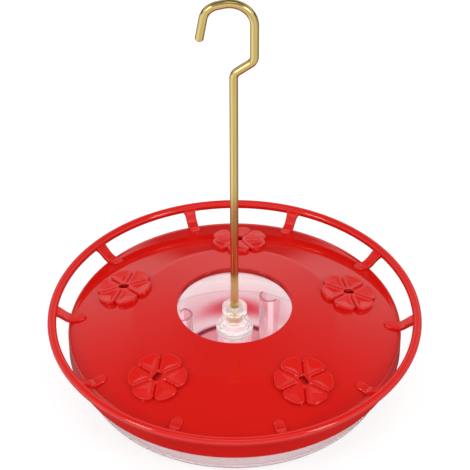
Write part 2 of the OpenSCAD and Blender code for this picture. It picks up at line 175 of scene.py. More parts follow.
def crowned(tree, radius, normal, height_mm):
    """Normals of a surface that rises from the opening and falls again to the edge."""
    across = add(tree, "ShaderNodeMapRange",
                 {"Value": radius, "From Min": CROWN_IN_R * MM,
                  "From Max": CROWN_OUT_R * MM}).outputs["Result"]
    rise = add(tree, "ShaderNodeMath", {0: across, 1: 1 / CROWN_AT}, operation="MULTIPLY")
    left = add(tree, "ShaderNodeMath", {0: 1.0, 1: across}, operation="SUBTRACT")
    fall = add(tree, "ShaderNodeMath", {0: left.outputs[0], 1: 1 / (1 - CROWN_AT)},
               operation="MULTIPLY")
    crown = add(tree, "ShaderNodeMath",
                {0: rise.outputs[0], 1: fall.outputs[0], 2: CROWN_BLEND},
                operation="SMOOTH_MIN")
    return add(tree, "ShaderNodeBump",
               {"Height": crown.outputs[0], "Distance": height_mm * MM, "Strength": 1.0,
                "Normal": normal}).outputs["Normal"]


print("crown highest at", round(CROWN_IN_R + CROWN_AT * (CROWN_OUT_R - CROWN_IN_R), 1), "mm")

# %% Make the red plastics
def moulded_red(name, colour, deep_colour, gloss, crown_mm=0.0):
    material, tree = new_material(name)
    place = add(tree, "ShaderNodeTexCoord").outputs["Object"]
    flow = add(tree, "ShaderNodeTexNoise",
               {"Vector": place, "Scale": per_metre(42), "Detail": 2.0, "Roughness": 0.5})
    pigment_and_shade = add(tree, "ShaderNodeMix",
                  {"Factor": flow.outputs["Fac"], 6: linear(deep_colour), 7: linear(colour)},
                  data_type="RGBA").outputs[2]
    haze = add(tree, "ShaderNodeTexNoise",
               {"Vector": place, "Scale": per_metre(9), "Detail": 4.0, "Roughness": 0.6})
    rough = add(tree, "ShaderNodeMapRange",
                {"Value": haze.outputs["Fac"], "From Min": 0.3, "From Max": 0.7,
                 "To Min": gloss, "To Max": gloss + 0.03})
    wave = add(tree, "ShaderNodeTexNoise",
               {"Vector": place, "Scale": per_metre(14), "Detail": 1.0})
    normal = add(tree, "ShaderNodeBump",
                 {"Height": wave.outputs["Fac"], "Distance": 0.05 * MM,
                  "Strength": 0.35}).outputs["Normal"]
    if crown_mm:
        flat = add(tree, "ShaderNodeVectorMath", {0: place, 1: (1, 1, 0)}, operation="MULTIPLY")
        radius = add(tree, "ShaderNodeVectorMath", {0: flat.outputs[0]},
                     operation="LENGTH").outputs["Value"]
        # painted shade on the wall of the cover's opening
        pigment_and_shade = painted_lip_shade(tree, radius, pigment_and_shade)
        normal = crowned(tree, radius, normal, crown_mm)
    # painted shade: the ports' vertex attribute darkens the red in their slots, grooves and
    # feet
    painted_shade = add(tree, "ShaderNodeAttribute", attribute_name="painted_shade").outputs["Fac"]
    pigment_and_shade = add(tree, "ShaderNodeMix", {"Factor": painted_shade, 6: pigment_and_shade, 7: linear(PAINTED_SHADE_RED)},
                  data_type="RGBA").outputs[2]
    shader = add(tree, "ShaderNodeBsdfPrincipled",
                 {"Base Color": pigment_and_shade, "Roughness": rough.outputs["Result"],
                  "IOR": 1.53, "Normal": normal})
    add(tree, "ShaderNodeOutputMaterial", {"Surface": shader.outputs["BSDF"]})
    return material


cover_red = moulded_red("red moulded ABS, cover", "#d9170f", "#d2140d", 0.04, crown_mm=2.4)
perch_red = moulded_red("red moulded ABS, perch", "#de170e", "#d6140c", 0.05)
port_red = moulded_red("red moulded ABS, ports", "#e01a11", "#d6160e", 0.07)
print("red plastics:", cover_red.name, "|", perch_red.name, "|", port_red.name)

# %% [markdown]
# ## Clear moulded plastic
# The bowl is polycarbonate, which is clear but never quite glass: a thick moulding has a
# little milk in it. Its pink is painted light, the red of the cover seen in it. So the
# shader is mostly a transmitting one, with a small share of plain scattering for the milk.
# That share also has a faint even glow, painted light that stands in for light the milk
# holds inside the plastic and lets out again.
#
# Down in the moat cup the light has come through and off the cover. It would take very
# many rays to trace, so that light is painted into the moat's plastic by place: a red cast
# that changes with the height, a painted dark red in the floor's corner, and a painted red
# spot on the back wall. The wells in it are narrow tubes, with a painted highlight as a pale
# streak down the front and a painted red brim where their faces turn up.

# %% Describe the painted moat light and the painted highlight
# heights in millimetres and the painted light in the plastic there; the dark red band is
# painted in the floor's corner
MOAT_LIGHT_BY_HEIGHT = ((0, "#f4bac3"), (3.4, "#f4b8c2"), (3.6, "#8c0a22"), (5.4, "#8c0a22"), (6.2, "#fcecef"),
         (15, "#fbe9ed"), (21, "#f8d4dc"), (27, "#fadee4"), (36, "#faeff1"), (50, "#fcf5f6"))
# a painted red spot of the cover's light on the moat's back wall: its centre, size and red
SPOT_AT, SPOT_SIZE, SPOT_PAINTED_LIGHT_RED = (0, 31.5, 17.5), (35, 34, 9.5), "#e8586c"
# the painted highlight lies where a wall faces this way, the painted red brim where a face
# turns up this far
STREAK_FACES, STREAK_EDGE, STREAK_CORE = (0.17, -0.985, 0), 0.93, 0.99
BRIM_EDGE, BRIM_FULL, PAINTED_BRIM_RED = 0.5, 0.7, "#b8405c"


def painted_moat_light(tree, place):
    """Painted light by height, with a painted red spot on the back wall."""
    top = MOAT_LIGHT_BY_HEIGHT[-1][0]
    height = add(tree, "ShaderNodeSeparateXYZ", {"Vector": place}).outputs["Z"]
    level = add(tree, "ShaderNodeMapRange", {"Value": height, "From Max": top * MM})
    band = add(tree, "ShaderNodeValToRGB", {"Fac": level.outputs["Result"]})
    set_ramp(band, [(at / top, colour) for at, colour in MOAT_LIGHT_BY_HEIGHT])
    spot = add(tree, "ShaderNodeMapping",
               {"Vector": place, "Location": Vector(SPOT_AT) * MM,
                "Scale": Vector(SPOT_SIZE) * MM}, vector_type="TEXTURE")
    away = add(tree, "ShaderNodeVectorMath", {0: spot.outputs[0]}, operation="LENGTH")
    near = add(tree, "ShaderNodeMapRange",
               {"Value": away.outputs["Value"], "From Min": 1.0, "From Max": 0.2},
               interpolation_type="SMOOTHSTEP")
    return add(tree, "ShaderNodeMix",
               {"Factor": near.outputs["Result"], 6: band.outputs["Color"],
                7: linear(SPOT_PAINTED_LIGHT_RED)}, data_type="RGBA").outputs[2]


def painted_highlight_and_brim(tree, milk, highlight_milk, body):
    """Painted highlight: more glowing milk where the wall faces the front; a painted red brim
    where it faces up.
    """
    facing = add(tree, "ShaderNodeNewGeometry").outputs["Normal"]
    front = add(tree, "ShaderNodeVectorMath", {0: facing, 1: STREAK_FACES},
                operation="DOT_PRODUCT")
    share = add(tree, "ShaderNodeMapRange",
                {"Value": front.outputs["Value"], "From Min": STREAK_EDGE,
                 "From Max": STREAK_CORE, "To Min": milk, "To Max": highlight_milk},
                interpolation_type="SMOOTHSTEP")
    upward = add(tree, "ShaderNodeSeparateXYZ", {"Vector": facing}).outputs["Z"]
    brim = add(tree, "ShaderNodeMapRange",
               {"Value": upward, "From Min": BRIM_EDGE, "From Max": BRIM_FULL})
    tinted = add(tree, "ShaderNodeMix",
                 {"Factor": brim.outputs["Result"], 6: body, 7: linear(PAINTED_BRIM_RED)},
                 data_type="RGBA")
    return share.outputs["Result"], tinted.outputs[2]


print("painted_light:", len(MOAT_LIGHT_BY_HEIGHT), "bands up to", MOAT_LIGHT_BY_HEIGHT[-1][0], "mm")

# %% Make the clear plastics
def clear_plastic(name, tint, milk_colour, milk, glow, gloss=0.03, highlight_milk=0.0):
    """Clear plastic of one tint and one milk colour, or with the painted moat light for both;
    its glow and pink are painted light.
    """
    material, tree = new_material(name)
    place = add(tree, "ShaderNodeTexCoord").outputs["Object"]
    wave = add(tree, "ShaderNodeTexNoise",
               {"Vector": place, "Scale": per_metre(16), "Detail": 1.0})
    normal = add(tree, "ShaderNodeBump",
                 {"Height": wave.outputs["Fac"], "Distance": 0.02 * MM,
                  "Strength": 0.3}).outputs["Normal"]
    if tint is painted_moat_light:
        body = cloudy = painted_moat_light(tree, place)
    else:
        body, cloudy = linear(tint), linear(milk_colour)
    # the wells get a painted highlight down the front and a painted red brim
    if highlight_milk:
        milk, body = painted_highlight_and_brim(tree, milk, highlight_milk, body)
    clear = add(tree, "ShaderNodeBsdfPrincipled",
                {"Base Color": body, "Roughness": gloss, "IOR": 1.49,
                 "Transmission Weight": 1.0, "Normal": normal})
    cloud = add(tree, "ShaderNodeBsdfPrincipled",
                {"Base Color": cloudy, "Roughness": 0.25, "IOR": 1.49, "Normal": normal,
                 "Emission Color": cloudy, "Emission Strength": glow})
    both = add(tree, "ShaderNodeMixShader",
               {0: milk, 1: clear.outputs["BSDF"], 2: cloud.outputs["BSDF"]})
    add(tree, "ShaderNodeOutputMaterial", {"Surface": both.outputs["Shader"]})
    return material


# every glow below is painted light, and so is the pink of the tints
bowl_clear = clear_plastic("clear polycarbonate, bowl", "#faecee", "#f0dadd", 0.14, 0.25)
moat_clear = clear_plastic("clear polycarbonate, moat", painted_moat_light, painted_moat_light, 0.20, 0.66, 0.05)
hub_clear = clear_plastic("clear acrylic, hub", "#fff4ee", "#fbf0ec", 0.10, 0.5)
well_clear = clear_plastic("clear polycarbonate, wells", "#f5c6cf", "#fbe2e7", 0.12, 0.6,
                           highlight_milk=0.6)
plug_clear = clear_plastic("clear acrylic, plug", "#ffffff", "#fffafa", 0.13, 0.95)
print("clear plastics:", bowl_clear.name, "|", moat_clear.name, "|", hub_clear.name)

# %% [markdown]
# ## Brass and silicone
# The hanger is drawn brass rod, kept bright: the die leaves faint lines along it, about
# half a millimetre apart, that stretch the highlights a little. The seal is milky
# silicone and the guards are red, both soft and almost without gloss.

# %% Make the brass and the silicone
def drawn_brass():
    material, tree = new_material("drawn brass rod")
    along = add(tree, "ShaderNodeUVMap", uv_map="along").outputs["UV"]
    stretched = add(tree, "ShaderNodeMapping", {"Vector": along, "Scale": (1.0, 0.02, 1.0)})
    lines = add(tree, "ShaderNodeTexNoise",
                {"Vector": stretched.outputs["Vector"], "Scale": per_metre(0.5), "Detail": 3.0})
    rough = add(tree, "ShaderNodeMapRange",
                {"Value": lines.outputs["Fac"], "From Min": 0.3, "From Max": 0.7,
                 "To Min": 0.14, "To Max": 0.22})
    tone = add(tree, "ShaderNodeMix",
               {"Factor": lines.outputs["Fac"], 6: linear("#bc9f56"), 7: linear("#dfca88")},
               data_type="RGBA")
    bump = add(tree, "ShaderNodeBump",
               {"Height": lines.outputs["Fac"], "Distance": 0.005 * MM, "Strength": 0.3})
    shader = add(tree, "ShaderNodeBsdfPrincipled",
                 {"Base Color": tone.outputs[2], "Metallic": 1.0,
                  "Roughness": rough.outputs["Result"], "Normal": bump.outputs["Normal"]})
    add(tree, "ShaderNodeOutputMaterial", {"Surface": shader.outputs["BSDF"]})
    return material


def soft_silicone(name, colour, pale_colour):
    material, tree = new_material(name)
    place = add(tree, "ShaderNodeTexCoord").outputs["Object"]
    grain = add(tree, "ShaderNodeTexNoise", {"Vector": place, "Scale": per_metre(0.6)})
    tone = add(tree, "ShaderNodeMix",
               {"Factor": grain.outputs["Fac"], 6: linear(colour), 7: linear(pale_colour)},
               data_type="RGBA")
    shader = add(tree, "ShaderNodeBsdfPrincipled",
                 {"Base Color": tone.outputs[2], "Roughness": 0.55, "IOR": 1.41})
    add(tree, "ShaderNodeOutputMaterial", {"Surface": shader.outputs["BSDF"]})
    return material


brass = drawn_brass()
silicone = soft_silicone("milky silicone", "#ddd6d2", "#efeae6")
red_silicone = soft_silicone("red silicone, guards", "#6e0c08", "#8a120d")
print("metal and rubber:", brass.name, "|", silicone.name, "|", red_silicone.name)

# %% [markdown]
# ## Helpers for round pieces
# Nearly every piece is turned about the rod's axis. A section is a closed list of corners
# (radius, height, round) in millimetres; the rounds become short arcs, and the section is
# spun into a closed mesh.

# %% Round the corners of a section and spin it
def rounded(corners, steps=5):
    """Points of a closed outline, with an arc of the given radius at each corner."""
    points = []
    for i, (r, z, fillet) in enumerate(corners):
        here = Vector((r, z))
        before = Vector(corners[i - 1][:2]) - here
        after = Vector(corners[(i + 1) % len(corners)][:2]) - here
        if fillet <= 0:
            points.append(here)
            continue
        a, b = before.normalized(), after.normalized()
        half = a.angle(b) / 2
        reach = min(fillet / math.tan(half), 0.49 * before.length, 0.49 * after.length)
        radius = reach * math.tan(half)
        centre = here + (a + b).normalized() * radius / math.sin(half)
        start, end = here + a * reach - centre, here + b * reach - centre
        sweep = start.angle_signed(end)
        for k in range(steps + 1):
            turn = Matrix.Rotation(-sweep * k / steps, 2)
            points.append(centre + turn @ start)
    return points


def circle(r, z, radius, step):
    """A round section about a point, with a corner every few degrees."""
    return [(r + radius * math.cos(math.radians(a)), z + radius * math.sin(math.radians(a)))
            for a in range(0, 360, step)]


def keep_crisp(piece, sharp):
    """Edges sharper than this many degrees stay sharp, and large faces stay even."""
    piece.data.set_sharp_from_angle(angle=math.radians(sharp))
    piece.modifiers.new("even shading", "WEIGHTED_NORMAL").keep_sharp = True


def finish_mesh(name, bm, material, sharp=32):
    bmesh.ops.remove_doubles(bm, verts=bm.verts, dist=0.001 * MM)
    bmesh.ops.recalc_face_normals(bm, faces=bm.faces)
    mesh = bpy.data.meshes.new(name)
    bm.to_mesh(mesh)
    bm.free()
    mesh.polygons.foreach_set("use_smooth", [True] * len(mesh.polygons))
    mesh.materials.append(material)
    piece = into_scene(name, mesh)
    keep_crisp(piece, sharp)
    return piece


def spin(name, outline, material, around=256, place=Matrix.Identity(4)):
    """Turns a closed outline in (radius, height) millimetres about Z."""
    bm = bmesh.new()
    rings = []
    for r, z in outline:
        count = around if r > 1e-4 else 1
        rings.append([bm.verts.new(place @ Vector((r * MM * math.cos(2 * math.pi * k / around),
                                                   r * MM * math.sin(2 * math.pi * k / around),
                                                   z * MM))) for k in range(count)])
    for i, ring in enumerate(rings):
        after = rings[(i + 1) % len(rings)]
        if len(ring) == len(after) == 1:
            continue
        for k in range(around):
            corners = [ring[k % len(ring)], ring[(k + 1) % len(ring)],
                       after[(k + 1) % len(after)], after[k % len(after)]]
            bm.faces.new(list(dict.fromkeys(corners)))
    return finish_mesh(name, bm, material)


def belongs(piece, body, slot, *nodes):
    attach(piece, body)
    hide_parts(*nodes)
    print(piece.name, "->", body, "|", len(piece.data.polygons), "faces")


print("test section:", len(rounded([(1, 0, 0.2), (2, 0, 0.2), (2, 1, 0.2)])), "points")

# %% [markdown]
# ## Bowl
# The nectar dish is one clear moulding: a flat floor, a round of 9 mm, a wall that leans
# out by 20 degrees and an upright rim under the cover's skirt.

# %% Make the bowl
BOWL_R, BOWL_WALL, BOWL_H = 91.4, 2.2, 28.6
LEAN = math.radians(20)
ROUND_R, ROUND_AT = 9.0, 78.802
FOOT_IN, FOOT_RELIEF = 68.0, 0.6


def lean_r(z, inset):
    """Radius of the leaning wall at a height, outside or inset by the wall."""
    r = ROUND_R - inset
    return ROUND_AT + r * math.cos(LEAN) + (z - ROUND_R + r * math.sin(LEAN)) * math.tan(LEAN)


def knee_z(inset):
    r = ROUND_R - inset
    return ROUND_R - r * math.sin(LEAN) + (BOWL_R - inset - ROUND_AT
                                           - r * math.cos(LEAN)) / math.tan(LEAN)


bowl_section = rounded([
    (0, FOOT_RELIEF, 0), (FOOT_IN - 0.6, FOOT_RELIEF, 0.4), (FOOT_IN, 0, 0.4),
    (lean_r(0, 0), 0, ROUND_R), (BOWL_R, knee_z(0), 3), (BOWL_R, BOWL_H, 0.9),
    (BOWL_R - BOWL_WALL, BOWL_H, 0.9), (BOWL_R - BOWL_WALL, knee_z(BOWL_WALL), 3),
    (lean_r(BOWL_WALL, BOWL_WALL), BOWL_WALL, ROUND_R - BOWL_WALL), (0, BOWL_WALL, 0),
], 8)
bowl = spin("bowl_dish", bowl_section, bowl_clear, 320)
belongs(bowl, "reservoir", "clear_bowl_plastic", "bowl")

# %% [markdown]
# ## Moat cup
# In the middle stands the ant moat: a wall round the hub, kept full of water, with the
# column that carries the hub and three half-round wells on the wall. The wells are one
# shape set three times round the axis, so a geometry node tree places them. They are
# joined to the wall, because a face left inside clear plastic would show.

# %% Set a shape round the axis
def settle(piece):
    """Turns what a piece's modifiers make into its plain mesh."""
    bpy.context.view_layer.update()
    evaluated = piece.evaluated_get(bpy.context.evaluated_depsgraph_get())
    mesh = bpy.data.meshes.new_from_object(evaluated)
    piece.modifiers.clear()
    piece.data = mesh


def round_the_axis(name, shape, count, first_bearing, material):
    """Copies of a shape about Z, as one plain mesh."""
    tree = bpy.data.node_groups.new(name + " array", "GeometryNodeTree")
    new_socket = tree.interface.new_socket
    new_socket("Geometry", in_out="INPUT", socket_type="NodeSocketGeometry")
    choices = {}
    for label, kind, value in (("Count", "NodeSocketInt", count),
                               ("First Bearing", "NodeSocketFloat", first_bearing),
                               ("Shape", "NodeSocketObject", shape)):
        choices[new_socket(label, in_out="INPUT", socket_type=kind).identifier] = value
    new_socket("Geometry", in_out="OUTPUT", socket_type="NodeSocketGeometry")
    given = add(tree, "NodeGroupInput").outputs
    points = add(tree, "GeometryNodePoints", {"Count": given["Count"]})
    index = add(tree, "GeometryNodeInputIndex").outputs["Index"]
    step = add(tree, "ShaderNodeMath", {0: 2 * math.pi, 1: given["Count"]}, operation="DIVIDE")
    turn = add(tree, "ShaderNodeMath", {0: index, 1: step.outputs[0]}, operation="MULTIPLY")
    bearing = add(tree, "ShaderNodeMath", {0: turn.outputs[0], 1: given["First Bearing"]},
                  operation="ADD")
    spin_by = add(tree, "ShaderNodeCombineXYZ", {"Z": bearing.outputs[0]})
    source = add(tree, "GeometryNodeObjectInfo", {"Object": given["Shape"]})
    copies = add(tree, "GeometryNodeInstanceOnPoints",
                 {"Points": points.outputs[0], "Instance": source.outputs["Geometry"],
                  "Rotation": spin_by.outputs[0]})
    real = add(tree, "GeometryNodeRealizeInstances", {0: copies.outputs[0]})
    paint = add(tree, "GeometryNodeSetMaterial",
                {"Geometry": real.outputs[0], "Material": material})
    add(tree, "NodeGroupOutput", {0: paint.outputs[0]})

    holder = into_scene(name, bpy.data.meshes.new(name))
    modifier = holder.modifiers.new("round the axis", "NODES")
    modifier.node_group = tree
    for identifier, value in choices.items():
        modifier[identifier] = value
    settle(holder)
    bpy.data.objects.remove(shape)
    print(name, "set", count, "times:", len(holder.data.polygons), "faces")
    return holder


def extrude(name, outline, low, high, material):
    """A closed outline in (x, y) millimetres, drawn up from one height to another."""
    bm = bmesh.new()
    rings = [[bm.verts.new((x * MM, y * MM, z * MM)) for x, y in outline] for z in (low, high)]
    bm.faces.new(rings[0][::-1])
    bm.faces.new(rings[1])
    for k in range(len(outline)):
        bm.faces.new((rings[0][k - 1], rings[0][k], rings[1][k], rings[1][k - 1]))
    return finish_mesh(name, bm, material)


def combine(piece, other, operation):
    """Adds or cuts another shape for good, and takes the other away."""
    piece.modifiers.clear()
    modifier = piece.modifiers.new(operation.lower(), "BOOLEAN")
    modifier.operation = operation
    modifier.solver = "EXACT"
    modifier.material_mode = "TRANSFER"
    modifier.object = other
    settle(piece)
    keep_crisp(piece, 32)
    bpy.data.objects.remove(other)


print("helpers for moat and perch ready")

# %% Make the moat cup and its wells
MOAT_R, MOAT_WALL, MOAT_FLOOR, MOAT_H, MOAT_TAPER = 34.2, 2.0, 1.2, 43.65, 3.4
COLUMN_R, COLUMN_BORE, COLUMN_H = 9.7, 6.4, 27.6
WELL_COUNT, WELL_BEARING, WELL_IN, WELL_R, WELL_WALL, WELL_H = 3, 51, 3.9, 5.9, 1.5, 34.4
WELL_SLANT, OVERSHOOT = 40, 5
SEAM = 0.04              # the gap left between two pieces that touch
cup_low, cup_floor = BOWL_WALL + SEAM, BOWL_WALL + MOAT_FLOOR


def cup_r(z):
    """Inner radius of the moat wall, which narrows towards the floor."""
    return MOAT_R - MOAT_TAPER * (MOAT_H - z) / (MOAT_H - BOWL_WALL)


cup_section = rounded([
    (0, cup_low, 0), (cup_r(cup_low) + MOAT_WALL, cup_low, 0.3),
    (MOAT_R + MOAT_WALL, MOAT_H, 0.7), (MOAT_R, MOAT_H, 0.7),
    (cup_r(cup_floor), cup_floor, 1.2), (COLUMN_R, cup_floor, 1.0),
    (COLUMN_R, COLUMN_H, 0.4), (COLUMN_BORE, COLUMN_H, 0.3), (COLUMN_BORE, cup_floor, 0.3),
    (0, cup_floor, 0),
], 5)
cup = spin("moat_cup_clear", cup_section, moat_clear, 192)


def stadium(radius, length):
    """A half-round at the centre side, straight out to the moat wall."""
    arc = [(-radius * math.cos(a), radius * math.sin(a))
           for a in [math.radians(-90 + 180 * k / 20) for k in range(21)]]
    return [(length, -radius)] + arc + [(length, radius)]


well_x = MOAT_R - WELL_IN
outer = [(well_x + x, y) for x, y in stadium(WELL_R, WELL_IN + MOAT_WALL / 2)]
inner = [(well_x + x, y) for x, y in stadium(WELL_R - WELL_WALL, WELL_IN)]
well = extrude("well", outer, cup_floor - MOAT_FLOOR / 2, WELL_H, well_clear)
hollow = extrude("well hollow", inner, cup_floor, WELL_H + OVERSHOOT, moat_clear)
combine(well, hollow, "DIFFERENCE")
# a tilted block cuts the well's mouth to a slant
slant = extrude("slant", [(-20, -20), (40, -20), (40, 20), (-20, 20)], 0, 20, moat_clear)
slant.data.transform(Matrix.Translation((well_x * MM, 0, WELL_H * MM))
                     @ Matrix.Rotation(math.radians(WELL_SLANT), 4, "Y"))
combine(well, slant, "DIFFERENCE")
inside = spin("inside the wall", [
    (0, 0), (cup_r(0) + MOAT_WALL / 2, 0), (MOAT_R + MOAT_WALL / 2, MOAT_H), (0, MOAT_H),
], moat_clear, 192)
combine(well, inside, "INTERSECT")
wells = round_the_axis("wells", well, WELL_COUNT, math.radians(WELL_BEARING), well_clear)
combine(cup, wells, "UNION")
belongs(cup, "reservoir", "clear_bowl_plastic", "moat_cup")

# %% [markdown]
# ## Hub and swivel cap
# A clear plug sits in the column on a ring of silicone. Its stepped flange closes the
# column, and the cap on it lets the rod turn. Both are polished, so their rims glint;
# each step has its own small round to catch that light.

# %% Make the hub plug, its seal and the cap
FLANGE_R, FLANGE_Z, FLANGE_TOP = 10.4, 28.5, 31.5
CAP_R, CAP_FOOT, CAP_TOP, CAP_ROOF, CAP_POCKET = 7.0, 36.2, 46.1, 41.4, 5.1
CAP_BAND_H, CAP_BAND_D, NECK_OVER, BEAD_H = 3.0, 0.4, 1.0, 1.1
ROD_R, SWIVEL_FIT, SEAT = 2.3, 0.05, 0.05
BOSS_TOP, PLUG_LOW, PLUG_WALL = 36.4, 18.6, 2.2
plug_r, neck_r = COLUMN_BORE - SEAT, CAP_R + NECK_OVER
bead_r = (FLANGE_R + neck_r) / 2

plug = spin("hub_plug_clear", rounded([
    (0, COLUMN_H, 0), (plug_r - PLUG_WALL, COLUMN_H, 0.2), (plug_r - PLUG_WALL, PLUG_LOW, 0.3),
    (plug_r, PLUG_LOW, 0.3), (plug_r, FLANGE_Z, 0), (FLANGE_R, FLANGE_Z, 0.6),
    (FLANGE_R, FLANGE_TOP, 0.8), (bead_r, FLANGE_TOP, 0.2),
    (bead_r, FLANGE_TOP + BEAD_H, 0.4), (neck_r, FLANGE_TOP + BEAD_H, 0.3),
    (neck_r, CAP_FOOT, 0.35),
    (CAP_POCKET - SEAT, CAP_FOOT, 0), (CAP_POCKET - SEAT, BOSS_TOP, 0.1), (0, BOSS_TOP, 0),
], 5), plug_clear, 128)
belongs(plug, "reservoir", "clear_hub_plastic", "hub_plug")

cap = spin("swivel_cap_clear", rounded([
    (CAP_POCKET, CAP_FOOT + SEAM, 0.2), (CAP_R - CAP_BAND_D, CAP_FOOT + SEAM, 0.3),
    (CAP_R - CAP_BAND_D, CAP_FOOT + CAP_BAND_H, 0.15), (CAP_R, CAP_FOOT + CAP_BAND_H, 0.15),
    (CAP_R, CAP_TOP, 0.8),
    (ROD_R + SWIVEL_FIT, CAP_TOP, 0.4), (ROD_R + SWIVEL_FIT, CAP_ROOF, 0.1),
    (CAP_POCKET, CAP_ROOF, 0.4),
], 5), hub_clear, 128)
belongs(cap, "reservoir", "clear_hub_plastic", "swivel_cap")

SEAL_MID_R, SEAL_R = COLUMN_BORE + 1.65, 0.85
seal = spin("hub_seal_ring", circle(SEAL_MID_R, FLANGE_Z, SEAL_R, 20), silicone, 96)
belongs(seal, "reservoir", "soft_silicone", "hub_seal")

# %% [markdown]
# ## Cover
# The cover is a low cone with a skirt over the bowl's rim and a lipped opening above the
# moat. Two rings under it find the bowl and the moat wall, so that it sits centred. It
# comes from a two-part mould, so one section turned about the axis holds all of it.

# %% Make the cover
SLOPE = math.radians(13.1)
COVER_R, EDGE_Z, EDGE_ROUND, COVER_WALL = 94.3, 33.0, 2.5, 2.0
SKIRT_Z, HOLE_R, LIP, LIP_ROUND = 19.0, 32.3, 3.3, 0.7
BOWL_GUIDE_IN, BOWL_GUIDE_OUT, BOWL_GUIDE_Z = 86.8, 88.8, 25.6
MOAT_GUIDE_IN, MOAT_GUIDE_OUT, MOAT_GUIDE_Z = 36.6, 38.2, 39.65
LIP_WALL, RIM_GAP = 1.4, 0.02
plate_drop = COVER_WALL / math.cos(SLOPE)


def cone_z(r):
    """Height of the cover's top face at a radius."""
    return (EDGE_Z - EDGE_ROUND + EDGE_ROUND / math.cos(SLOPE)
            + (COVER_R - EDGE_ROUND - r) * math.tan(SLOPE))


def under_z(r):
    return cone_z(r) - plate_drop


skirt_in, lip_out, seat_z = COVER_R - COVER_WALL, HOLE_R + LIP_WALL, BOWL_H + RIM_GAP
cover = spin("cover_red", rounded([
    (HOLE_R, cone_z(HOLE_R) - LIP, 0.4), (HOLE_R, cone_z(HOLE_R), LIP_ROUND),
    (COVER_R, cone_z(COVER_R), EDGE_ROUND), (COVER_R, SKIRT_Z, 0.6),
    (skirt_in, SKIRT_Z, 0.6), (skirt_in, seat_z, 0.3), (BOWL_GUIDE_OUT, seat_z, 0),
    (BOWL_GUIDE_OUT, BOWL_GUIDE_Z, 0.4), (BOWL_GUIDE_IN, BOWL_GUIDE_Z, 0.4),
    (BOWL_GUIDE_IN, under_z(BOWL_GUIDE_IN), 0.5),
    (MOAT_GUIDE_OUT, under_z(MOAT_GUIDE_OUT), 0.5),
    (MOAT_GUIDE_OUT, MOAT_GUIDE_Z, 0.4), (MOAT_GUIDE_IN, MOAT_GUIDE_Z, 0.4),
    (MOAT_GUIDE_IN, under_z(MOAT_GUIDE_IN), 0), (lip_out, under_z(lip_out), 0.3),
    (lip_out, cone_z(HOLE_R) - LIP, 0.4),
], 6), cover_red, 360)
belongs(cover, "cover_set", "red_cover_plastic", "cover")

# %% [markdown]
# ## Perch ring
# Birds stand on a ring held off the cover by ten arms. Each arm starts as a rounded tab
# that lies on the cone, sweeps up past the edge and widens into the ring's underside. One
# arm is lofted along its path, and the same node tree as for the wells sets ten of them.

# %% Loft one arm and set ten
PERCH_R, PERCH_Z, TUBE_R = 103.05, 39.7, 2.5
ARM_COUNT, ARM_W, ARM_T, ARM_ROOT = 10, 6.0, 3.0, 84.6
ARM_STEPS, ARM_LIES, ARM_LIFTS_AT, ARM_MEETS_AT = 36, 0.3, 91.0, PERCH_R - 1
# shares of the arm's length where its tab is full, where it is thick and where it flares
ARM_TAB, ARM_THICK_AT, ARM_FLARE_AT = 0.16, 0.30, 0.62
ARM_FLARE_W, ARM_THIN = 3.0, 0.45


def arm_height(r):
    """The arm lies along the cover, then sweeps up under the ring."""
    lift = min(max((r - ARM_LIFTS_AT) / (ARM_MEETS_AT - ARM_LIFTS_AT), 0), 1)
    lift = lift * lift * (3 - 2 * lift)
    return (1 - lift) * (cone_z(r) + ARM_LIES) + lift * (PERCH_Z - TUBE_R + ARM_T / 2)


def arm_centre(t):
    """A point of the arm's middle line and its heading there."""
    r = ARM_ROOT + t * (PERCH_R - ARM_ROOT)
    heading = math.atan2(arm_height(r + 0.1) - arm_height(r - 0.1), 0.2)
    return r, arm_height(r), heading


def arm_width(t):
    root = min(t / ARM_TAB, 1)
    flare = max(0, (t - ARM_FLARE_AT) / (1 - ARM_FLARE_AT))
    return ARM_W * math.sqrt(max(1 - (1 - root) ** 2, 0.02)) + ARM_FLARE_W * flare ** 2.5


def arm_body(t):
    """Share of the full thickness: the arm's end lies low on the cover."""
    grow = min(t / ARM_THICK_AT, 1)
    return ARM_THIN + (1 - ARM_THIN) * grow * grow * (3 - 2 * grow)


def loft_arm():
    bm = bmesh.new()
    rings = []
    for i in range(ARM_STEPS + 1):
        t = i / ARM_STEPS
        x, z, a = arm_centre(t)
        half_w, half_t = arm_width(t) / 2, ARM_T / 2 * arm_body(t)
        section = rounded([(-half_w, -half_t, 0.8), (half_w, -half_t, 0.8),
                           (half_w, half_t, 0.9), (-half_w, half_t, 0.9)], 3)
        rings.append([bm.verts.new(((x - math.sin(a) * v) * MM, u * MM,
                                    (z + math.cos(a) * v) * MM)) for u, v in section])
    for before, after in zip(rings, rings[1:]):
        for k in range(len(before)):
            bm.faces.new((before[k - 1], before[k], after[k], after[k - 1]))
    bm.faces.new(rings[0])
    bm.faces.new(rings[-1][::-1])
    return finish_mesh("arm", bm, perch_red)


ring = spin("perch_ring_red", circle(PERCH_R, PERCH_Z, TUBE_R, 12), perch_red, 360)
arms = round_the_axis("arms", loft_arm(), ARM_COUNT, 0.0, perch_red)
combine(ring, arms, "UNION")
belongs(ring, "cover_set", "red_perch_plastic", "perch_ring")

# %% [markdown]
# ## Flower ports
# Each port is a flower of six petals round a slot for the beak. A petal has a raised
# border and a hollow of three flat facets that meet at a low point, and a V groove parts
# it from the next. The whole port is one closed mesh: its section changes with the
# bearing, so the mesh is a ring of sections and not a plain turned shape. Each point also
# says how deep it lies in shade, and the red is darkened by that much: painted shade in
# the slot, the grooves and round the foot.

